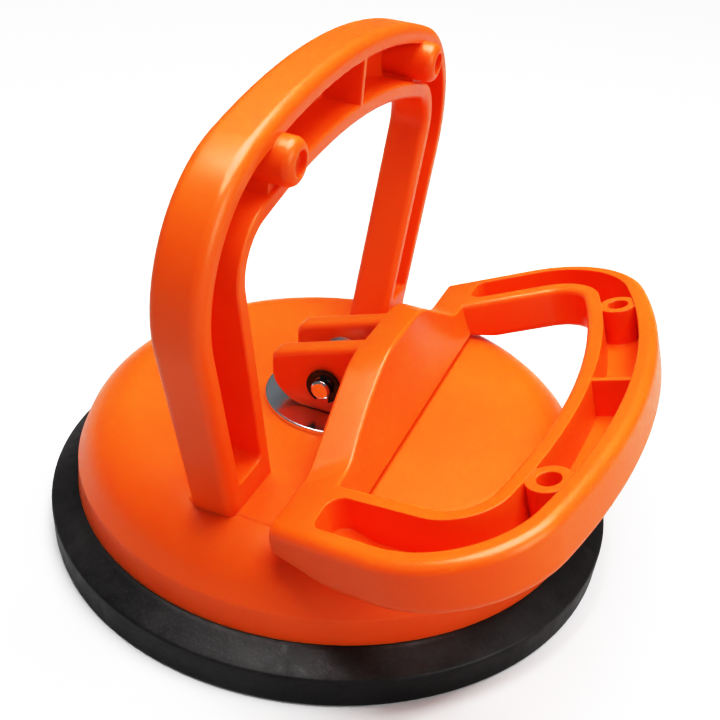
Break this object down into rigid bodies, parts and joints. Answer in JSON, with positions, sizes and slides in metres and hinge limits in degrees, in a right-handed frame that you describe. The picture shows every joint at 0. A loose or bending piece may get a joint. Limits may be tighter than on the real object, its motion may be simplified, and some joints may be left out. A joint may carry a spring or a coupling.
{
  "type": "vacuum suction cup",
  "caption": "Lever-operated vacuum suction cup: a round rubber pad under a domed plastic base, with a fixed grip and a cam lever that pulls the middle of the pad up.",
  "frame": {"origin": "centre of the rubber pad's flat sealing face", "axes": "+Z away from the surface that the cup grips, +X towards the lever's grip when the lever is folded down, Y along the pivot pin; at rest the lever is folded down and the pad is flat"},
  "size_m": [0.1194, 0.116, 0.0978],
  "materials": {
    "orange_plastic": "satin",
    "black_rubber": "matte",
    "zinc_steel": "zinc plated",
    "bright_steel": "polished",
    "black_steel": "oiled black"
  },
  "bodies": {
    "base": {"base_housing": "orange_plastic", "wear_washer": "zinc_steel", "pad_rim": "black_rubber"},
    "stud": {"centre_stud": "zinc_steel", "backing_plate": "zinc_steel", "pad_core": "black_rubber", "pivot_pin": "bright_steel", "retaining_clips": "black_steel"},
    "lever": {"cam_lever": "orange_plastic"}
  },
  "joints": [
    {"name": "stud_lift", "type": "slide", "parent": "base", "child": "stud", "axis": [0, 0, 1], "range_m": [0, 0.005]},
    {"name": "lever_hinge", "type": "hinge", "parent": "stud", "child": "lever", "pos_m": [0, 0, 0.0328], "axis": [0, -1, 0], "range_deg": [0, 72]}
  ],
  "couplings": [
    {"joint": "stud_lift", "follows": "lever_hinge", "m_per_rad": 0.003978}
  ]
}
